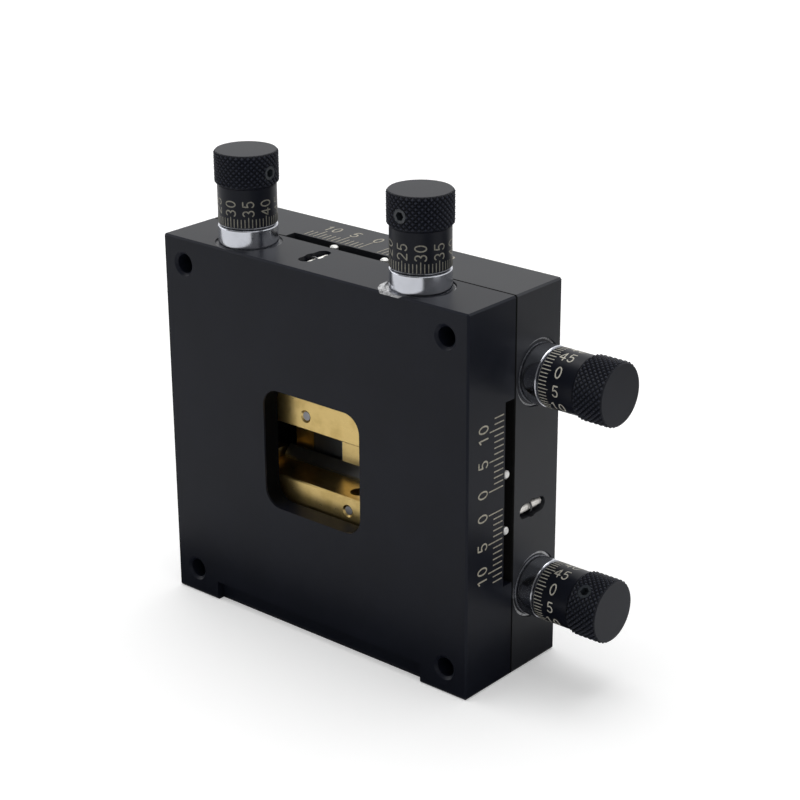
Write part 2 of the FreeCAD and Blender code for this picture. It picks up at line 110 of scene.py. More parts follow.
class Wire:
    """One output of a node, on which sums can be written as Python expressions."""

    def __init__(self, graph: "Graph", socket: NodeSocket) -> None:
        """Keep the socket and the graph that it belongs to."""
        self.graph = graph
        self.socket = socket

    def __abs__(self) -> "Wire":
        """The size of this without its sign."""
        return self.graph.math("ABSOLUTE", self)

    __add__, __radd__ = sum_of("ADD"), sum_of("ADD", mirrored=True)
    __sub__, __rsub__ = sum_of("SUBTRACT"), sum_of("SUBTRACT", mirrored=True)
    __mul__, __rmul__ = sum_of("MULTIPLY"), sum_of("MULTIPLY", mirrored=True)
    __truediv__ = sum_of("DIVIDE")
    __gt__, __lt__ = sum_of("GREATER_THAN"), sum_of("LESS_THAN")


Value = Wire | float


class Graph:
    """A shader or geometry node tree with one way of adding nodes."""

    def __init__(self, tree: NodeTree) -> None:
        """Keep the tree and its links."""
        self.tree = tree

    def node(self, kind: str, settings: Settings | None = None, inputs: Inputs | None = None) -> Node:
        """Add a node.

        Args:
            kind: the node's type.
            settings: what is set on the node itself.
            inputs: values or wires for its sockets, by name or number; a list of wires joins them.

        Returns:
            The node.
        """
        node = self.tree.nodes.new(kind)
        for name, value in (settings or {}).items():
            setattr(node, name, value)
        for key, value in (inputs or {}).items():
            for one in value if isinstance(value, list) else [value]:
                if isinstance(one, Wire):
                    self.tree.links.new(one.socket, node.inputs[key])
                else:
                    node.inputs[key].default_value = one
        return node

    def wire(
        self, kind: str, settings: Settings | None = None, inputs: Inputs | None = None, output: str | int = 0
    ) -> Wire:
        """Add a node as node() does, and take one of its outputs by name or number."""
        return Wire(self, self.node(kind, settings, inputs).outputs[output])

    def shape(self, kind: str, inputs: Inputs | None = None) -> Wire:
        """Add a geometry node, whose type is named without its prefix, and take its first output."""
        return self.wire(f"GeometryNode{kind}", {}, inputs)

    def moved(self, shape: Wire, at: Wire | Triple = (0, 0, 0), turn: Wire | Triple = (0, 0, 0)) -> Wire:
        """A geometry turned by angles about the axes and then moved."""
        return self.shape("Transform", {"Geometry": shape, "Translation": at, "Rotation": turn})

    def math(self, operation: str, *values: Value) -> Wire:
        """One sum on numbers, with its operation's name."""
        return self.wire("ShaderNodeMath", {"operation": operation}, dict(enumerate(values)))

    def ramp(self, value: Value, low: float, high: float) -> Wire:
        """Nought below low and one above high, smoothly between."""
        inputs = {"Value": value, "From Min": low, "From Max": high}
        return self.wire("ShaderNodeMapRange", {"interpolation_type": "SMOOTHSTEP"}, inputs)

    def parts(self, vector: Wire) -> tuple[Wire, Wire, Wire]:
        """The three numbers of a vector."""
        split = self.node("ShaderNodeSeparateXYZ", {}, {0: vector})
        return tuple(Wire(self, output) for output in split.outputs)

    def vector(self, x: Value, y: Value, z: Value) -> Wire:
        """A vector out of three numbers."""
        return self.wire("ShaderNodeCombineXYZ", {}, {0: x, 1: y, 2: z})


class Paint(Graph):
    """The shader tree of one finish, read in millimetres of the object's own coordinates."""

    def __init__(self, name: str) -> None:
        """Start an empty material of that name."""
        self.material = bpy.data.materials.new(name)
        self.material.use_nodes = True
        super().__init__(self.material.node_tree)
        self.tree.nodes.clear()
        place = self.node("ShaderNodeTexCoord")
        self.place = Wire(self, place.outputs["Object"])
        self.facing = Wire(self, place.outputs["Normal"])

    def stretched(self, x: float, y: float | None = None, z: float | None = None) -> Wire:
        """Object coordinates in millimetres times a number along each axis, or one number along all."""
        factors = {0: self.place, 1: (x / MM, (y or x) / MM, (z or x) / MM)}
        return self.wire("ShaderNodeVectorMath", {"operation": "MULTIPLY"}, factors, "Vector")

    def attribute(self, name: str) -> Wire:
        """A number that the mesh keeps at its points."""
        return self.wire("ShaderNodeAttribute", {"attribute_name": name}, {}, "Fac")

    def noise(self, at: Wire, detail: float = 2.0, roughness: float = 0.5) -> Wire:
        """Soft noise about one unit across, from 0 to 1."""
        inputs = {"Vector": at, "Scale": 1.0, "Detail": detail, "Roughness": roughness}
        return self.wire("ShaderNodeTexNoise", {}, inputs)

    def blend(self, share: Value, a: Wire | Colour, b: Wire | Colour) -> Wire:
        """Colour a where the share is nought, b where it is one."""
        low, high = [c if isinstance(c, Wire) else (*c, 1.0) for c in (a, b)]
        return self.wire("ShaderNodeMix", {"data_type": "RGBA"}, {0: share, 6: low, 7: high}, 2)

    def bump(self, height: Wire, depth: float) -> Wire:
        """A normal bumped by a height map, whose full depth is given in millimetres."""
        inputs = {"Height": height, "Distance": depth * MM, "Strength": 1.0}
        return self.wire("ShaderNodeBump", {}, inputs, "Normal")

    def finish(self, inputs: Inputs) -> Material:
        """Give the principled shader its values or wires, and hand back the finished material."""
        shader = self.wire("ShaderNodeBsdfPrincipled", {}, inputs, "BSDF")
        self.node("ShaderNodeOutputMaterial", {}, {"Surface": shader})
        return self.material


@dataclass(frozen=True)
class BlackAnodised:
    """Satin black anodised aluminium with a fine blasted grain."""

    name: str
    colour: Colour = (0.0062, 0.0074, 0.0124)
    roughness: float = 0.40
    specular: float = 0.2
    grain: float = 0.17
    cloud_lift: float = 1.22
    # How much the painted highlight lightens broken edges and knurl points.
    edge_lift: float = 1.4
    # The colour of the painted shade.
    shade: Colour = (0.0005, 0.0005, 0.0006)
    bare_metal: tuple[Colour, Colour] = ((0.20, 0.20, 0.205), (0.60, 0.605, 0.62))
    bare_shine: float = 1.0

    def paint(self) -> Material:
        """Make the material."""
        p = Paint(self.name)
        cloud = p.noise(p.stretched(0.09), 3.0)
        grain = p.noise(p.stretched(1 / self.grain), 1.0)
        colour = self.covered(p, p.blend(p.ramp(cloud, 0.3, 0.7), self.colour, self.lifted(self.cloud_lift)))
        roughness = self.roughness - 0.04 + 0.05 * cloud + 0.05 * grain
        shaded = self.shaded(p)
        if shaded is not None:
            # Painted shade: the seam's chamfers and the window's side walls darkened to near black.
            colour = p.blend(shaded, colour, self.shade)
            roughness = roughness * (1 - shaded) + shaded
        bare = self.bare(p)
        metallic: Value = 0.0
        if bare is not None:
            scraped = p.ramp(p.noise(p.stretched(2.2), 4.0, 0.65), 0.36, 0.62)
            colour = p.blend(bare, colour, p.blend(scraped, *self.bare_metal))
            roughness = roughness * (1 - bare) + bare * (0.38 - 0.14 * scraped)
            metallic = bare * self.bare_shine
        return p.finish(
            {
                "Base Color": colour,
                "Roughness": roughness,
                "Metallic": metallic,
                "Specular IOR Level": self.specular,
                "Normal": p.bump(grain, 0.006),
            }
        )

    def lifted(self, by: float) -> Colour:
        """The colour made lighter."""
        return tuple(min(1.0, c * by) for c in self.colour)

    def covered(self, p: Paint, colour: Wire) -> Wire:
        """Paint a highlight on the broken edges, whose faces look along no axis, by lightening the black
        there.
        """
        x, y, z = p.parts(p.facing)
        straight = p.math("MAXIMUM", p.math("MAXIMUM", abs(x), abs(y)), abs(z))
        # Painted highlight: the chamfers' black is made lighter.
        broken = 1 - p.ramp(straight, 0.75, 0.95)
        return p.blend(broken, colour, self.lifted(self.edge_lift))

    def shaded(self, p: Paint) -> Wire | None:
        """Where painted shade darkens the black: nowhere on a plain piece."""
        return None

    def bare(self, p: Paint) -> Wire | None:
        """Where the metal is bare: nowhere on a plain piece."""
        return None


@dataclass(frozen=True)
class Spotface:
    """Bare metal round a knob, or painted light where a rim only lifts the shade round a sleeve's foot: a
    thin rim on its spotface, and a scrape that may run past it.

    All in millimetres of the row's frame; the scrape is a round patch with its own middle.
    """

    middle: Vector
    rim: float
    shine: float
    reach: float = 5.43
    overlap: float = 0.06
    scrape_middle: Vector | None = None
    scrape_reach: float = 0.0


@dataclass(frozen=True)
class BlackHousing(BlackAnodised):
    """A housing's black, bare in places round its two knobs, which stand upwards or sideways."""

    spotfaces: tuple[Spotface, ...] = ()
    sideways: bool = False
    floor: float = 32.15
    seam: float = 11.7
    chamfer: float = 0.19
    window: float = 10.5
    window_edge: float = 0.35
    slack: float = 0.1
    fade: Point = (4.0, 0.5)
    rag: float = 0.3

    def shaded(self, p: Paint) -> Wire | None:
        """Painted shade on the chamfers of the seam between the housings and on the window's side walls."""
        x, y, z = p.parts(p.stretched(1))
        from_seam, opening = abs(y - self.seam), self.window + self.slack
        within = from_seam < self.seam - self.window_edge
        inside = (abs(x) < opening) * (abs(z) < opening) * within
        # Painted shade on the window's side walls, full near them and fading towards the middle.
        wall = inside * p.ramp(abs(x), *(self.window - far for far in self.fade))
        return p.math("MAXIMUM", from_seam < self.chamfer, wall)

    def bare(self, p: Paint) -> Wire | None:
        """One on the rims and scrapes of the spotfaces."""
        x, y, z = p.parts(p.stretched(1))
        across, height = (z, x) if self.sideways else (x, z)

        def away(middle: Vector) -> Wire:
            """The distance from a place in the end wall."""
            a, b = across - (middle.z if self.sideways else middle.x), y - middle.y
            return p.math("SQRT", a * a + b * b)

        mask: Value = 0.0
        for face in self.spotfaces:
            distance = away(face.middle)
            rim = (distance > face.reach - face.rim) * (distance < face.reach + face.overlap)
            mask = p.math("MAXIMUM", mask, rim * face.shine)
            if face.scrape_middle is not None:
                ragged = self.rag * p.noise(p.stretched(1.1), 3.0) - self.rag / 2
                scrape = away(face.scrape_middle) + ragged < face.scrape_reach
                mask = p.math("MAXIMUM", mask, scrape)
        return mask * (height > self.floor)


@dataclass(frozen=True)
class BlackTurned(BlackAnodised):
    """Black anodised turned work, whose bare edges are marked by an attribute."""

    def covered(self, p: Paint, colour: Wire) -> Wire:
        """Leave the colour as it is, with no painted highlight, since turned faces look every way."""
        return colour

    def bare(self, p: Paint) -> Wire | None:
        """Where the attribute marks bare metal."""
        return p.attribute("bare")


@dataclass(frozen=True)
class Knurled(BlackAnodised):
    """Black anodised knurling with a painted highlight on its points, which an attribute marks."""

    def covered(self, p: Paint, colour: Wire) -> Wire:
        """Paint a highlight on the points of the knurl."""
        return p.blend(p.ramp(p.attribute("point"), 0.45, 1.0), colour, self.lifted(self.edge_lift))


@dataclass(frozen=True)
class Metal:
    """Bare metal with tool marks, so many to the millimetre along each axis, and faint tarnish."""

    name: str
    colour: Colour
    dull: Colour
    roughness: float
    marks: Triple
    mark_depth: float
    tarnish: float

    def paint(self) -> Material:
        """Make the material."""
        p = Paint(self.name)
        marks = p.noise(p.stretched(*self.marks), 3.0, 0.6)
        patches = p.noise(p.stretched(0.35), 4.0, 0.55)
        share = p.ramp(patches, 0.42, 0.72) * self.tarnish + 0.25 * marks
        return p.finish(
            {
                "Base Color": p.blend(share, self.colour, self.dull),
                "Metallic": 1.0,
                "Roughness": self.roughness - 0.06 + 0.10 * marks + 0.08 * patches,
                "Normal": p.bump(marks, self.mark_depth),
            }
        )


@dataclass(frozen=True)
class BlackOxide:
    """Blackened steel, a little oily."""

    name: str
    colour: Colour = (0.018, 0.022, 0.027)
    roughness: float = 0.36

    def paint(self) -> Material:
        """Make the material."""
        p = Paint(self.name)
        oil = p.noise(p.stretched(0.8), 3.0)
        grain = p.noise(p.stretched(5), 1.0)
        return p.finish(
            {
                "Base Color": p.blend(oil, self.colour, tuple(1.8 * c for c in self.colour)),
                "Roughness": self.roughness + 0.12 * oil,
                "Specular IOR Level": 0.55,
                "Normal": p.bump(grain, 0.004),
            }
        )


@dataclass(frozen=True)
class FilledLine:
    """The pale paint that fills the engraved lines and numbers."""

    name: str
    colour: Colour
    worn: Colour

    def paint(self) -> Material:
        """Make the material."""
        p = Paint(self.name)
        wear = p.noise(p.stretched(2.5), 3.0)
        return p.finish(
            {
                "Base Color": p.blend(p.ramp(wear, 0.42, 0.68), self.colour, self.worn),
                "Roughness": 0.55 + 0.15 * wear,
                "Specular IOR Level": 0.3,
                "Normal": p.bump(wear, 0.01),
            }
        )


class Trees:
    """The geometry node trees that the repeated pieces grow from. Every size is in millimetres."""

    def __init__(self) -> None:
        """Build every tree once."""
        self.ticks = self._ticks()
        self.strokes = self._strokes()
        self.knurl = self._knurl()
        self.spring = self._spring()

    @staticmethod
    def _open(name: str, **labels: Sequence[str]) -> tuple[Graph, dict[str, Wire]]:
        """Start a tree, its inputs' labels given by their kind of socket; hand back its inputs by label."""
        tree = bpy.data.node_groups.new(name, "GeometryNodeTree")
        sockets = [("Geometry", "Geometry"), ("Finish", "Material")]
        sockets += [(label, kind) for kind, group in labels.items() for label in group]
        for label, kind in sockets:
            tree.interface.new_socket(name=label, in_out="INPUT", socket_type=f"NodeSocket{kind}")
        tree.interface.new_socket(name="Geometry", in_out="OUTPUT", socket_type="NodeSocketGeometry")
        graph = Graph(tree)
        start = graph.node("NodeGroupInput")
        return graph, {output.name: Wire(graph, output) for output in start.outputs if output.name}

    @staticmethod
    def _close(graph: Graph, shape: Wire, finish: Wire) -> NodeTree:
        """End a tree: what it has made becomes real geometry with its material."""
        real = graph.shape("RealizeInstances", {0: shape})
        dressed = graph.shape("SetMaterial", {"Geometry": real, "Material": finish})
        graph.node("NodeGroupOutput", {}, {0: dressed})
        return graph.tree

    def _ticks(self) -> NodeTree:
        """A row of scale lines along x, which start at y = 0; every few lines one is long."""
        lengths = ("Pitch", "Width", "Height", "Short", "Long")
        g, given = self._open("scale_lines", Float=lengths, Int=("Count", "Every"))
        row = g.shape("MeshLine", {"Count": given["Count"], "Offset": g.vector(given["Pitch"], 0, 0)})
        line = g.shape("MeshCube", {"Size": g.vector(given["Width"], 1, given["Height"])})
        line = g.moved(line, at=(0, 0.5, 0))
        turn = g.math("FLOORED_MODULO", g.shape("InputIndex"), given["Every"])
        reach = given["Short"] + (turn < 0.5) * (given["Long"] - given["Short"])
        lines = g.shape("InstanceOnPoints", {"Points": row, "Instance": line, "Scale": g.vector(1, reach, 1)})
        return self._close(g, lines, given["Finish"])

    def _strokes(self) -> NodeTree:
        """Pen strokes with round ends along the curves that come in, pressed flat."""
        g, given = self._open("engraved_strokes", Float=("Width", "Height"))
        path, radius = given["Geometry"], given["Width"] * 0.5
        pen = g.shape("CurvePrimitiveCircle", {"Resolution": 8, "Radius": radius})
        stroke = g.shape("CurveToMesh", {"Curve": path, "Profile Curve": pen, "Fill Caps": True})
        ball = g.shape("MeshUVSphere", {"Segments": 8, "Rings": 6, "Radius": radius})
        ends = g.shape("CurveEndpointSelection")
        tips = g.shape("InstanceOnPoints", {"Points": path, "Selection": ends, "Instance": ball})
        real = g.shape("RealizeInstances", {0: g.shape("JoinGeometry", {0: [tips, stroke]})})
        x, y, z = g.parts(g.shape("InputPosition"))
        flat = g.vector(x, y, z / radius * given["Height"])
        pressed = g.shape("SetPosition", {"Geometry": real, "Position": flat})
        return self._close(g, pressed, given["Finish"])

    def _knurl(self) -> NodeTree:
        """A closed round cap along z with a diamond knurl, chamfered ends and a radial screw hole."""
        lengths = ("Radius", "Height", "Depth", "Rows", "Lower Chamfer", "Upper Chamfer")
        hole = ("Hole Radius", "Hole Height", "Hole Floor", "Hole Angle")
        counts = ("Diamonds", "Samples Round", "Samples Up")
        g, given = self._open("knurled_cap", Float=lengths + hole, Int=counts)
        radius, height = given["Radius"], given["Height"]
        lower, upper = given["Lower Chamfer"], given["Upper Chamfer"]
        flat_share, weld, drill_sides = 0.18, 0.002, 40
        size = {"Size X": 2 * math.pi, "Size Y": height}
        size |= {"Vertices X": given["Samples Round"] + 1, "Vertices Y": given["Samples Up"] + 1}
        sheet = g.shape("MeshGrid", size)
        angle, up, _ = g.parts(g.shape("InputPosition"))
        up = up + height * 0.5
        across = angle * given["Diamonds"] * (0.5 / math.pi)
        along = up * given["Rows"] / height
        grooves = [abs(2 * g.math("FRACT", lay) - 1) for lay in (across + along, across - along)]
        groove = g.math("MAXIMUM", *grooves)
        groove = g.math("MAXIMUM", (groove - flat_share) * (1 / (1 - flat_share)), 0.0)
        out = radius - given["Depth"] * groove
        out = g.math("MINIMUM", out, radius - lower + up)
        out = g.math("MINIMUM", out, radius - upper + (height - up))
        wrapped = g.vector(out * g.math("COSINE", angle), out * g.math("SINE", angle), up)
        side = g.shape("SetPosition", {"Geometry": sheet, "Position": wrapped})
        ends = []
        for chamfer, level, tilt in ((lower, 0.0, math.pi), (upper, height, 0.0)):
            rim = {"Vertices": given["Samples Round"], "Radius": radius - chamfer}
            disc = g.wire("GeometryNodeMeshCircle", {"fill_type": "NGON"}, rim)
            ends.append(g.moved(disc, at=g.vector(0, 0, level), turn=(tilt, 0, 0)))
        shell = g.shape("JoinGeometry", {0: [side, *ends]})
        shell = g.shape("MergeByDistance", {"Geometry": shell, "Distance": weld})
        drill = {"Vertices": drill_sides, "Radius": given["Hole Radius"], "Depth": radius}
        drill = g.moved(g.shape("MeshCylinder", drill), turn=(0, math.pi / 2, 0))
        drill = g.moved(drill, at=g.vector(given["Hole Floor"] + radius * 0.5, 0, given["Hole Height"]))
        drill = g.moved(drill, turn=g.vector(0, 0, given["Hole Angle"]))
        both = {"Mesh 1": shell, "Mesh 2": drill}
        cut = g.wire("GeometryNodeMeshBoolean", {"operation": "DIFFERENCE"}, both)
        return self._close(g, cut, given["Finish"])

    def _spring(self) -> NodeTree:
        """An extension spring along z, its hooks' middles at z = 0 and at its length."""
        sizes = ("Length", "Turns", "Coil Radius", "Hook Radius", "Wire")
        g, given = self._open("extension_spring", Float=sizes)
        hook, length, coil_r = given["Hook Radius"], given["Length"], given["Coil Radius"]
        winding = {"Resolution": 20, "Rotations": given["Turns"], "Height": length - 2 * hook}
        coil = g.shape("CurveSpiral", winding | {"Start Radius": coil_r, "End Radius": coil_r})
        path = [g.moved(coil, at=g.vector(0, 0, hook))]
        for level in (0.0, length):
            ring = g.shape("CurvePrimitiveCircle", {"Resolution": 28, "Radius": hook})
            path.append(g.moved(ring, at=g.vector(0, 0, level), turn=(math.pi / 2, 0, 0)))
        round_wire = g.shape("CurvePrimitiveCircle", {"Resolution": 10, "Radius": given["Wire"] * 0.5})
        whole = g.shape("JoinGeometry", {0: path})
        tube = g.shape("CurveToMesh", {"Curve": whole, "Profile Curve": round_wire, "Fill Caps": True})
        return self._close(g, tube, given["Finish"])


def placed(name: str, data: ID) -> Object:
    """Stand a new object with that data in the scene."""
    thing = bpy.data.objects.new(name, data)
    bpy.context.scene.collection.objects.link(thing)
    return thing


def grown(tree: NodeTree, sizes: Settings, source: ID | None = None) -> Mesh:
    """Run a geometry node tree and keep its result.

    Args:
        tree: the tree.
        sizes: values of its inputs by name.
        source: the curve or mesh that it starts from, if it needs one.

    Returns:
        A plain mesh in millimetres.
    """
    carrier = placed("carrier", source or bpy.data.meshes.new("seed"))
    modifier = carrier.modifiers.new("grow", "NODES")
    modifier.node_group = tree
    keys = {item.name: item.identifier for item in tree.interface.items_tree if item.in_out == "INPUT"}
    for name, value in sizes.items():
        modifier[keys[name]] = value
    graph = bpy.context.evaluated_depsgraph_get()
    mesh = bpy.data.meshes.new_from_object(carrier.evaluated_get(graph), depsgraph=graph)
    bpy.data.objects.remove(carrier)
    return mesh


def turned(profile: Sequence[Point], segments: int = 96) -> Mesh:
    """A solid of revolution about z.

    Args:
        profile: (radius, height) points round the section, counter-clockwise, none of them on the axis.
        segments: how many flats go round.

    Returns:
        A closed mesh with smooth faces and crisp corners.
    """
    verts: list[Triple] = []
    faces: list[tuple[int, ...]] = []
    rings: list[list[int]] = []
    for radius, height in profile:
        start = len(verts)
        for step in range(segments):
            angle = 2 * math.pi * step / segments
            verts.append((radius * math.cos(angle), radius * math.sin(angle), height))
        rings.append(list(range(start, start + segments)))
    for low, high in zip(rings, rings[1:] + rings[:1]):
        for step in range(segments):
            after = (step + 1) % segments
            faces.append((low[step], low[after], high[after], high[step]))
    mesh = bpy.data.meshes.new("turned")
    mesh.from_pydata(verts, [], faces)
    smooth(mesh)
    return mesh


def smooth(mesh: Mesh, crisp: float = 28.0) -> None:
    """Shade a mesh smooth, but crisp across edges sharper than an angle in degrees."""
    mesh.polygons.foreach_set("use_smooth", [True] * len(mesh.polygons))
    mesh.set_sharp_from_angle(angle=math.radians(crisp))


def rolled(mesh: Mesh, radius: float, height: float, angle: float) -> Mesh:
    """Roll a flat mesh round a cylinder about z: x goes outwards along the axis, y clockwise.

    Args:
        mesh: the flat mesh, with z as its height over the surface.
        radius: the cylinder's radius.
        height: where x = 0 comes to lie.
        angle: where y = 0 comes to lie, in degrees.

    Returns:
        The same mesh.
    """
    for vertex in mesh.vertices:
        x, y, z = vertex.co
        turn = math.radians(angle) - y / radius
        out = radius + z
        vertex.co = (out * math.cos(turn), out * math.sin(turn), height + x)
    return mesh


def merged(meshes: Sequence[Mesh], name: str) -> Mesh:
    """Join meshes that share one material into a new one of that name, and use them up.

    A grown mesh can have an empty slot before the one that holds its material.
    """
    verts: list[Vector] = []
    faces: list[tuple[int, ...]] = []
    material = next(slot for slot in meshes[0].materials if slot)
    for mesh in meshes:
        start = len(verts)
        verts += [vertex.co.copy() for vertex in mesh.vertices]
        faces += [tuple(start + i for i in face.vertices) for face in mesh.polygons]
        bpy.data.meshes.remove(mesh)
    whole = bpy.data.meshes.new(name)
    whole.from_pydata(verts, [], faces)
    whole.materials.append(material)
    return whole


def arc(middle: Point, reach: Point, start: float, end: float) -> list[Point]:
    """Points along an elliptic arc, every 15 degrees or so from one angle in degrees to the other.

    Args:
        middle: the centre.
        reach: the half width and half height.
        start: the first angle.
        end: the last angle.

    Returns:
        The points.
    """
    step = 15
    steps = max(2, round(abs(end - start) / step))
    angles = [math.radians(start + (end - start) * i / steps) for i in range(steps + 1)]
    return [(middle[0] + reach[0] * math.cos(a), middle[1] + reach[1] * math.sin(a)) for a in angles]


def digit(value: int) -> list[Point]:
    """The pen's path for a digit from 0 to 5, one high and about 0.6 wide."""
    low, high = 0.07, 0.93
    paths = {
        0: arc((0.29, 0.5), (0.225, 0.43), 90, 450),
        1: [(0.14, 0.76), (0.33, high), (0.33, low)],
        2: arc((0.29, 0.685), (0.215, 0.245), 165, -35) + [(0.07, low), (0.53, low)],
        3: arc((0.27, 0.715), (0.195, 0.215), 150, -75) + arc((0.27, 0.285), (0.225, 0.215), 75, -150),
        4: [(0.42, low), (0.42, high), (0.05, 0.31), (0.56, 0.31)],
        5: [(0.50, high), (0.15, high), (0.10, 0.53)] + arc((0.285, 0.335), (0.225, 0.265), 125, -150),
    }
    return paths[value]


@dataclass(frozen=True)
class Engraver:
    """Cuts numbers and lines, and fills them with paint."""

    trees: Trees
    paint: Material
    gap: float = 0.14
    digit_width: float = 0.58
    height: float = 0.02
    longest_run: float = 0.3
    every: int = 5

    def number(self, value: int, size: float, pen: float) -> Mesh:
        """A flat number centred on the origin, reading along x.

        Args:
            value: the number.
            size: the height of its digits.
            pen: the width of its strokes.

        Returns:
            The mesh, whose z is its height over the surface.
        """
        curve = bpy.data.curves.new("strokes", "CURVE")
        curve.dimensions = "3D"
        text = str(value)
        width = len(text) * self.digit_width + (len(text) - 1) * self.gap
        for place, letter in enumerate(text):
            shift = place * (self.digit_width + self.gap) - width / 2
            path = self.divided([((x + shift) * size, (y - 0.5) * size) for x, y in digit(int(letter))])
            spline = curve.splines.new("POLY")
            spline.points.add(len(path) - 1)
            for point, (x, y) in zip(spline.points, path):
                point.co = (x, y, 0, 1)
        sizes = {"Width": pen, "Height": self.height, "Finish": self.paint}
        return grown(self.trees.strokes, sizes, curve)

    def lines(self, count: int, pitch: float, width: float, short: float, long: float) -> Mesh:
        """A row of scale lines along x, of which every few are long."""
        sizes = {"Count": count, "Pitch": pitch, "Width": width, "Height": 2 * self.height}
        sizes |= {"Short": short, "Long": long, "Every": self.every, "Finish": self.paint}
        return grown(self.trees.ticks, sizes)

    def divided(self, path: Sequence[Point]) -> list[Point]:
        """The same path in short straight runs, so that it stays even when it is rolled."""
        points = [path[0]]
        for (ax, ay), (bx, by) in zip(path, path[1:]):
            x, y = bx - ax, by - ay
            pieces = max(1, math.ceil(math.hypot(x, y) / self.longest_run))
            points += [(ax + x * i / pieces, ay + y * i / pieces) for i in range(1, pieces + 1)]
        return points


@dataclass(frozen=True)
class Unit:
    """One slit unit: where it stands, and what its own frame is in the row's frame."""

    name: str
    rear: bool
    side: float = 65.0
    depth: float = 11.7
    screw_u: float = 18.4
    screw_w: float = 5.85

    @property
    def half(self) -> float:
        """Half the side of the housing."""
        return self.side / 2

    def matrix(self, u: float = 0.0, w: float = 0.0, v: float = 0.0) -> Matrix:
        """From the unit's frame in millimetres, moved by (u, w, v), to the row's frame in metres."""
        shift = Matrix.Translation((u, w, v))
        if not self.rear:
            return Matrix.Scale(MM, 4) @ shift
        turn = Matrix(((0, 0, 1, 0), (0, -1, 0, 2 * self.depth), (1, 0, 0, 0), (0, 0, 0, 1)))
        return Matrix.Scale(MM, 4) @ turn @ shift

    def far(self) -> Matrix:
        """The same for the far carriage, which is the near one turned half round the light's path."""
        return self.matrix() @ Matrix.Rotation(math.pi, 4, "Y")


class Workshop:
    """Makes finished pieces: places their meshes and dresses them."""

    def __init__(self) -> None:
        """Mix the finishes and build the trees."""
        self.trees = Trees()
        self.turned_black = BlackTurned("turned_black", roughness=0.34, specular=0.18).paint()
        # The knurl's points get a strong painted highlight.
        self.knurled_black = Knurled("knurled_black", roughness=0.44, specular=0.25, edge_lift=3.3).paint()
        self.sleeve_steel = Metal(
            "sleeve_steel", (0.70, 0.72, 0.78), (0.50, 0.515, 0.56), 0.17, (0.8, 0.8, 0.8), 0.0, 0.3
        ).paint()
        self.wire_steel = Metal(
            "wire_steel", (0.13, 0.13, 0.135), (0.07, 0.07, 0.075), 0.34, (4.0, 4.0, 4.0), 0.002, 0.3
        ).paint()
        # One filling paint in three tones: the front dials' copy is darker as painted shade, the rear dials'
        # lighter as painted light.
        paints = {
            "face": FilledLine("line_paint", (0.46, 0.43, 0.35), (0.32, 0.30, 0.24)),
            "front": FilledLine("front_dial_paint", (0.26, 0.25, 0.21), (0.17, 0.163, 0.135)),
            "rear": FilledLine("rear_dial_paint", (0.62, 0.60, 0.52), (0.42, 0.40, 0.34)),
        }
        self.engravers = {place: Engraver(self.trees, line.paint()) for place, line in paints.items()}

    def piece(
        self, name: str, mesh: Mesh, place: Matrix, slot: Slot, material: Material | None = None
    ) -> Object:
        """Turn a mesh in millimetres into a piece whose object stays at the origin.

        Args:
            name: the piece's name.
            mesh: its mesh in its own frame.
            place: takes that frame to the row's.
            slot: the record's material slot; not used.
            material: its finish, if the mesh has none yet.

        Returns:
            The object.
        """
        mesh.name = name
        mesh.transform(place)
        if material:
            mesh.materials.clear()
            mesh.materials.append(material)
        piece = placed(name, mesh)
        log.info("%s: %d faces", name, len(mesh.polygons))
        return piece


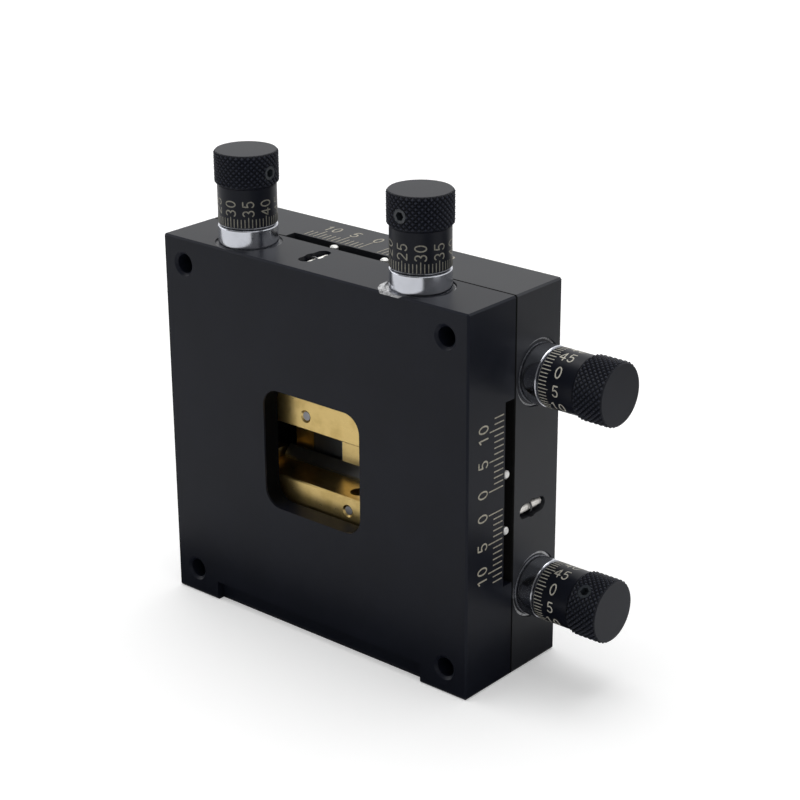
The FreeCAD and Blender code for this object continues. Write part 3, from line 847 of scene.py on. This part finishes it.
@dataclass(frozen=True)
class Knob:
    """A sleeve, a graduated thimble and a knurled cap on one lead screw, heights from the end wall."""

    jaw: str
    unit: Unit
    u: float
    zero_angle: float
    screw_angle: float
    sleeve_r: float = 4.93
    sleeve_height: float = 3.1
    spotface: float = 0.3
    barrel_r: float = 3.8
    barrel_top: float = 9.0
    shank_r: float = 3.0
    bore_r: float = 1.55
    inner_end: float = -7.3
    thimble_r: float = 4.87
    thimble_low: float = 3.22
    thimble_top: float = 9.95
    thimble_wall: float = 0.85
    thimble_roof: float = 0.75
    thimble_bore: float = 1.5
    bevel: float = 0.3
    cap_r: float = 5.3
    cap_top: float = 15.55
    lower_chamfer: float = 0.5
    upper_chamfer: float = 0.35
    diamonds: int = 34
    knurl_depth: float = 0.3
    hole_r: float = 1.15
    hole_height: float = 12.3
    hole_floor: float = 1.5
    samples: int = 8
    flats: int = 128
    lines: int = 50
    line_width: float = 0.135
    line_start: float = 3.62
    short: float = 1.42
    long: float = 1.75
    number_middle: float = 6.75
    number_size: float = 2.05
    pen: float = 0.215

    @property
    def place(self) -> Matrix:
        """From the knob's own frame, its axis along z, to the row's."""
        return self.unit.matrix(self.u, self.unit.screw_w, self.unit.half)

    def build(self, shop: Workshop) -> None:
        """Make every piece of the knob."""
        self.build_sleeve(shop)
        self.build_thimble(shop)
        self.build_scale(shop)
        self.build_cap(shop)

    def build_sleeve(self, shop: Workshop) -> None:
        """The bright sleeve that stays on the housing; rings close beside its edges keep them crisp."""
        r, top, edge, near = self.sleeve_r, self.sleeve_height, 0.15, 0.05
        profile = [
            (self.bore_r, self.inner_end),
            (self.shank_r, self.inner_end),
            (self.shank_r, -self.spotface),
            (r - near, -self.spotface),
            (r, -self.spotface + near),
            (r, -self.spotface + 2 * near),
            (r, top - edge - near),
            (r, top - edge),
            (r - edge * 0.3, top - edge * 0.3),
            (r - edge, top),
            (self.barrel_r, top),
            (self.barrel_r, self.barrel_top),
            (self.bore_r, self.barrel_top),
        ]
        mesh = turned(profile, self.flats)
        piece = shop.piece(
            f"{self.jaw}_sleeve_turned", mesh, self.place, Slot.POLISHED_STEEL, shop.sleeve_steel
        )
        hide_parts(f"{self.jaw}_sleeve")
        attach(piece, "housing")

    def build_thimble(self, shop: Workshop) -> None:
        """The thin black cup that carries the round scale, bare on its lower bevel."""
        r, low, high = self.thimble_r, self.thimble_low, self.thimble_top
        inner, ceiling = r - self.thimble_wall, high - self.thimble_roof
        slope, near = low + self.bevel, 0.04
        profile = [
            (inner, low),
            (r - self.bevel, low),
            (r - near, slope - near),
            (r, slope + 0.03),
            (r, slope + 2 * near),
            (r, high - 0.09),
            (r, high - near),
            (r - near, high),
            (self.thimble_bore, high),
            (self.thimble_bore, ceiling),
            (inner, ceiling),
        ]
        mesh = turned(profile, self.flats)
        bare = mesh.attributes.new("bare", "FLOAT", "POINT")
        for vertex in mesh.vertices:
            across = math.hypot(vertex.co.x, vertex.co.y)
            bare.data[vertex.index].value = float(vertex.co.z < slope - near / 2 and across > inner + 0.1)
        piece = shop.piece(
            f"{self.jaw}_thimble_turned", mesh, self.place, Slot.BLACK_ALUMINIUM, shop.turned_black
        )
        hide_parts(f"{self.jaw}_thimble")
        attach(piece, f"{self.jaw}_knob")

    def build_scale(self, shop: Workshop) -> None:
        """Fifty lines and ten numbers round the thimble, which count up counter-clockwise."""
        pitch = 2 * math.pi * self.thimble_r / self.lines
        engraver = shop.engravers[self.unit.name]
        row = engraver.lines(self.lines, -pitch, self.line_width, self.short, self.long)
        for vertex in row.vertices:
            x, y, z = vertex.co
            vertex.co = (y, x, z)
        row.flip_normals()
        marks = [rolled(row, self.thimble_r, self.line_start, self.zero_angle)]
        for value in range(0, self.lines, engraver.every):
            number = engraver.number(value, self.number_size, self.pen)
            angle = self.zero_angle + 360 / self.lines * value
            marks.append(rolled(number, self.thimble_r, self.number_middle, angle))
        piece = shop.piece(
            f"{self.jaw}_thimble_scale", merged(marks, "marks"), self.place, Slot.BLACK_ALUMINIUM
        )
        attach(piece, f"{self.jaw}_knob")

    def build_cap(self, shop: Workshop) -> None:
        """The knurled cap with its set screw hole."""
        height = self.cap_top - self.thimble_top
        around = 2 * math.pi * self.cap_r / self.diamonds
        rows = round(height / around)
        sizes = {
            "Radius": self.cap_r,
            "Height": height,
            "Depth": self.knurl_depth,
            "Diamonds": self.diamonds,
            "Rows": float(rows),
            "Lower Chamfer": self.lower_chamfer,
            "Upper Chamfer": self.upper_chamfer,
            "Samples Round": self.diamonds * self.samples,
            "Samples Up": rows * self.samples,
            "Hole Radius": self.hole_r,
            "Hole Height": self.hole_height - self.thimble_top,
            "Hole Floor": self.hole_floor,
            "Hole Angle": math.radians(self.screw_angle),
            "Finish": shop.knurled_black,
        }
        mesh = grown(shop.trees.knurl, sizes)
        point = mesh.attributes.new("point", "FLOAT", "POINT")
        for vertex in mesh.vertices:
            out = math.hypot(vertex.co.x, vertex.co.y)
            point.data[vertex.index].value = max(0.0, 1 - (self.cap_r - out) / self.knurl_depth)
        place = self.place @ Matrix.Translation((0, 0, self.thimble_top))
        piece = shop.piece(f"{self.jaw}_cap_knurled", mesh, place, Slot.BLACK_ALUMINIUM)
        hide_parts(f"{self.jaw}_cap")
        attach(piece, f"{self.jaw}_knob")


@dataclass(frozen=True)
class Carriage:
    """The spring of one carriage, with its hooks round the carriage's pin and the wall's pin."""

    jaw: str
    unit: Unit
    far: bool
    reading: float
    spring_u: float = 4.5
    spring_w: float = 6.7
    pin_from_edge: float = 4.35
    wall_pin: float = 31.25
    coil_r: float = 1.025
    hook_r: float = 1.025
    wire: float = 0.35
    turns: float = 33.0
    hook_reach: float = 1.2

    def build(self, shop: Workshop) -> None:
        """Wind the spring and stretch it between its two pins."""
        low = self.reading + self.pin_from_edge
        sizes = {"Length": self.wall_pin - low, "Turns": self.turns, "Coil Radius": self.coil_r}
        sizes |= {"Hook Radius": self.hook_r, "Wire": self.wire, "Finish": shop.wire_steel}
        mesh = grown(shop.trees.spring, sizes)
        smooth(mesh, 60)
        base = self.unit.far() if self.far else self.unit.matrix()
        place = base @ Matrix.Translation((-self.spring_u, self.spring_w, low))
        piece = shop.piece(f"{self.jaw}_spring_wound", mesh, place, Slot.SPRING_STEEL)
        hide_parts(f"{self.jaw}_spring")
        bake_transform(piece)


@dataclass(frozen=True)
class SideScale:
    """The two straight scales cut beside a housing's index slot."""

    unit: Unit
    zero: float = 2.0
    lines: int = 13
    start: float = 8.9
    short: float = 2.3
    long: float = 3.5
    line_width: float = 0.19
    number_middle: float = 3.9
    number_size: float = 2.5
    pen: float = 0.27

    def build(self, shop: Workshop) -> None:
        """Cut the lines and numbers, both ways out from the middle."""
        flat: list[Mesh] = []
        engraver = shop.engravers["face"]
        for way in (1, -1):
            row = engraver.lines(self.lines, float(way), self.line_width, self.short, self.long)
            row.transform(Matrix.Translation((way * self.zero, -self.start, 0)))
            flat.append(row)
            for value in range(0, self.lines, engraver.every):
                number = engraver.number(value, self.number_size, self.pen)
                number.transform(Matrix.Translation((way * (self.zero + value), -self.number_middle, 0)))
                flat.append(number)
        onto_face = Matrix(((0, 0, 1, self.unit.half), (0, -1, 0, 0), (1, 0, 0, 0), (0, 0, 0, 1)))
        piece = shop.piece(
            f"{self.unit.name}_side_scale",
            merged(flat, "side_scale"),
            self.unit.matrix() @ onto_face,
            Slot.BLACK_ALUMINIUM,
        )
        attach(piece, "housing")


class Dresser:
    """Gives the CAD nodes their finishes."""

    def __init__(self, frame: dict, units: Sequence[Unit]) -> None:
        """Mix one finish for each slot, and others for the housings and for the pins that show."""
        self.frame = frame
        even = (4.0, 4.0, 4.0)
        finishes = {
            Slot.BLACK_ALUMINIUM: BlackAnodised("plain_black"),
            Slot.BRASS: Metal(
                "jaw_brass", (0.74, 0.55, 0.225), (0.48, 0.33, 0.105), 0.27, (0.5, 5.0, 5.0), 0.006, 0.45
            ),
            Slot.GROUND_STEEL: Metal(
                "knife_steel", (0.17, 0.175, 0.18), (0.11, 0.11, 0.115), 0.38, (5.0, 5.0, 0.4), 0.004, 0.3
            ),
            Slot.BRIGHT_STEEL: Metal(
                "pin_steel", (0.86, 0.86, 0.84), (0.70, 0.70, 0.69), 0.46, even, 0.003, 0.25
            ),
            Slot.SPRING_STEEL: Metal(
                "spring_steel", (0.66, 0.66, 0.67), (0.45, 0.45, 0.46), 0.26, even, 0.002, 0.3
            ),
            Slot.POLISHED_STEEL: Metal(
                "polished_steel", (0.80, 0.81, 0.83), (0.62, 0.63, 0.66), 0.17, (3.0, 3.0, 3.0), 0.001, 0.2
            ),
            Slot.BLACK_STEEL: BlackOxide("screw_black"),
        }
        self.by_slot = {slot: finish.paint() for slot, finish in finishes.items()}
        front, rear = units
        lower_seat, upper_seat = self.seat(front, front.screw_u), self.seat(front, -front.screw_u)
        scrape = lower_seat + Vector((-1.4, -2.2, 0))
        front_faces = (
            Spotface(lower_seat, rim=0.14, shine=0.5, scrape_middle=scrape, scrape_reach=4.1),
            # The upper knob's rim is painted light that lifts the shade ringing the sleeve's foot.
            Spotface(upper_seat, rim=0.65, shine=0.2, reach=5.56),
        )
        rear_faces = (
            Spotface(self.seat(rear, -rear.screw_u), rim=0.3, shine=1.0),
            Spotface(self.seat(rear, rear.screw_u), rim=0.2, shine=0.6),
        )
        front_black = BlackHousing("front_black", roughness=0.36, specular=0.16, spotfaces=front_faces)
        # The rear housing's black is a lighter copy of the same anodised finish: painted light.
        rear_black = BlackHousing(
            "rear_black", (0.0136, 0.0150, 0.0192), 0.46, 0.34, bare_shine=0.45, spotfaces=rear_faces,
            sideways=True,
        )
        pins = {
            # The carriage pins' steel is a darker copy of the bright pin steel: painted shade.
            "carriage": Metal("eye_pin_steel", (0.34, 0.34, 0.36), (0.22, 0.22, 0.23), 0.4, even, 0.003, 0.3),
            "wall": Metal("wall_pin_steel", (0.92, 0.90, 0.86), (0.74, 0.72, 0.68), 0.54, even, 0.0, 0.3),
        }
        self.by_node = {"front_housing": front_black.paint(), "rear_housing": rear_black.paint()}
        for place, finish in pins.items():
            steel = finish.paint()
            self.by_node |= {f"{jaw}_{place}_pin": steel for jaw in ("upper", "lower", "left", "right")}

    @staticmethod
    def seat(unit: Unit, u: float) -> Vector:
        """Where a knob's axis leaves the housing, in millimetres of the row's frame."""
        return unit.matrix() @ Vector((u, unit.screw_w, unit.half)) / MM

    def dress(self) -> None:
        """Assign the finishes."""
        slots = {part["node"]: Slot(part["material_slot"]) for part in self.frame["record"]["subparts"]}
        for name, node in self.frame["nodes"].items():
            material = self.by_node.get(name, self.by_slot[slots[name]])
            node.data.materials.clear()
            node.data.materials.append(material)
            log.info("%s: %s", name, material.name)


@dataclass(frozen=True)
class Studio:
    """The camera, the pale floor and the soft lights."""

    position: Triple = (0.21418, -0.22805, 0.13427)
    right: Triple = (0.76117941, 0.64852162, -0.00506067)
    up: Triple = (-0.23479636, 0.28284099, 0.92998476)
    forward: Triple = (-0.60454658, 0.70669703, -0.36756325)
    lens: float = 94.08
    aim: Triple = (0, 0.01, 0)
    foot: float = -0.0325
    reach: float = 2.5
    near_glow: float = 0.3
    far_glow: float = 0.9
    dark_side: Triple = (0.15, -0.85, 0.5)
    darkening: float = 0.85
    soft_white: float = 0.35
    card_lift: float = 0.0005
    cards: tuple[tuple[str, tuple[Point, ...]], ...] = (
        ("right_card", ((0.10, -0.08), (0.40, -0.31), (0.45, -0.03), (0.12, -0.005))),
        ("back_card", ((0.10, 0.13), (0.26, 0.10), (0.60, 0.50), (0.15, 0.60))),
        # A painted shadow round the foot, seen only in reflections.
        ("painted_shadow_card", ((-0.045, -0.014), (0.042, -0.014), (0.042, 0.03), (-0.045, 0.03))),
    )
    lamps: tuple[tuple[str, Triple, float, float], ...] = (
        ("top_light", (-0.1, 0.15, 0.9), 0.9, 5.5),
        ("left_light", (-0.95, -0.35, 0.4), 1.0, 2.6),
        ("right_light", (0.8, -0.5, 0.5), 0.8, 1.0),
    )

    def build(self) -> None:
        """Set everything up round the object."""
        self.set_camera()
        self.lay_floor()
        self.light_world()
        self.lay_cards()
        for lamp in self.lamps:
            self.hang_lamp(*lamp)
        bpy.context.scene.view_settings.view_transform = "Standard"

    def set_camera(self) -> None:
        """Stand the camera where the photograph was taken."""
        camera = placed("camera", bpy.data.cameras.new("camera"))
        camera.data.sensor_width = 36.0
        camera.data.lens = self.lens
        camera.data.clip_start, camera.data.clip_end = 0.01, 20.0
        turn = Matrix((self.right, self.up, tuple(-c for c in self.forward))).transposed()
        camera.matrix_world = Matrix.Translation(self.position) @ turn.to_4x4()
        bpy.context.scene.camera = camera

    @staticmethod
    def sheet(name: str, corners: Sequence[Point], level: float, material: Material) -> Object:
        """Lay a flat sheet with four corners at a height."""
        mesh = bpy.data.meshes.new(name)
        mesh.from_pydata([(x, y, level) for x, y in corners], [], [(0, 1, 2, 3)])
        mesh.materials.append(material)
        return placed(name, mesh)

    def lay_floor(self) -> None:
        """A wide pale floor under the object."""
        p = Paint("pale_floor")
        tone = p.noise(p.stretched(0.004))
        seen = Wire(p, p.node("ShaderNodeLightPath").outputs["Is Camera Ray"])
        x, y, _ = p.parts(p.stretched(MM))
        far = p.ramp(x * x + y * y, 0.1, 3.0)
        material = p.finish(
            {
                "Base Color": p.blend(tone, (0.90, 0.90, 0.90), (0.93, 0.93, 0.93)),
                "Roughness": 0.9,
                "Specular IOR Level": 0.1,
                "Emission Color": (1, 1, 1, 1),
                "Emission Strength": (self.near_glow + (self.far_glow - self.near_glow) * far) * seen,
            }
        )
        r = self.reach
        floor = self.sheet("floor", ((-r, -r), (r, -r), (r, r), (-r, r)), self.foot, material)

    def lay_cards(self) -> None:
        """Dark cards on the floor, seen only in polished and satin faces: painted dark reflections that give
        those faces their shade, and round the foot a painted reflection of the object's shadow.
        """
        p = Paint("dark_card")
        tone = p.noise(p.stretched(0.01))
        colour = p.blend(tone, (0.015, 0.015, 0.016), (0.03, 0.03, 0.03))
        material = p.finish({"Base Color": colour, "Roughness": 0.9})
        for name, corners in self.cards:
            card = self.sheet(name, corners, self.foot + self.card_lift, material)
            card.visible_camera = card.visible_diffuse = card.visible_shadow = False

    def light_world(self) -> None:
        """White where it is seen or mirrored, darker towards the camera, and a softer white as light."""
        world = bpy.data.worlds.new("studio")
        world.use_nodes = True
        g = Graph(world.node_tree)
        world.node_tree.nodes.clear()
        rays = g.node("ShaderNodeLightPath")
        kinds = ("Camera", "Glossy", "Transmission")
        seen, mirrored, through = [Wire(g, rays.outputs[f"Is {kind} Ray"]) for kind in kinds]
        way = g.wire("ShaderNodeTexCoord", output="Generated")
        sides = {0: way, 1: self.dark_side}
        towards = g.wire("ShaderNodeVectorMath", {"operation": "DOT_PRODUCT"}, sides, "Value")
        mirror = mirrored * (1 - self.darkening * g.ramp(towards, 0.1, 0.65))
        shown = g.math("MAXIMUM", g.math("MAXIMUM", seen, mirror), through)
        strength = g.math("MAXIMUM", self.soft_white * (1 - mirrored), shown)
        sky = g.wire("ShaderNodeBackground", {}, {"Color": (1, 1, 1, 1), "Strength": strength})
        g.node("ShaderNodeOutputWorld", {}, {"Surface": sky})
        bpy.context.scene.world = world

    def hang_lamp(self, name: str, at: Triple, size: float, power: float) -> None:
        """Hang a soft square lamp, its side in metres and its power in watts, that looks at the object."""
        lamp = bpy.data.lights.new(name, "AREA")
        lamp.shape, lamp.size, lamp.energy = "SQUARE", size, power
        hung = placed(name, lamp)
        hung.location = at
        hung.rotation_euler = (Vector(self.aim) - Vector(at)).to_track_quat("-Z", "Y").to_euler()


def main() -> None:
    """Build the looks of the whole slit."""
    logging.basicConfig(level=logging.INFO, format="%(name)s %(message)s")
    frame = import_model()
    front, rear = Unit("front", rear=False), Unit("rear", rear=True)
    shop = Workshop()
    Dresser(frame, (front, rear)).dress()
    # A dial's numbers stand 36 degrees apart: 35 faces the camera on the upper one, 30 on the lower one.
    apart = 36
    knobs = [
        Knob("upper", front, -front.screw_u, zero_angle=316 - 7 * apart, screw_angle=3),
        Knob("lower", front, front.screw_u, zero_angle=310 - 6 * apart, screw_angle=271),
        Knob("right", rear, -rear.screw_u, zero_angle=56, screw_angle=40),
        Knob("left", rear, rear.screw_u, zero_angle=56, screw_angle=220),
    ]
    for knob in knobs:
        knob.build(shop)
    carriages = [
        Carriage("upper", front, far=False, reading=1.3),
        Carriage("lower", front, far=True, reading=4.4),
        Carriage("right", rear, far=False, reading=2.7),
        Carriage("left", rear, far=True, reading=4.15),
    ]
    for carriage in carriages:
        carriage.build(shop)
    for unit in (front, rear):
        SideScale(unit).build(shop)
    Studio().build()


if __name__ == "__main__":
    main()
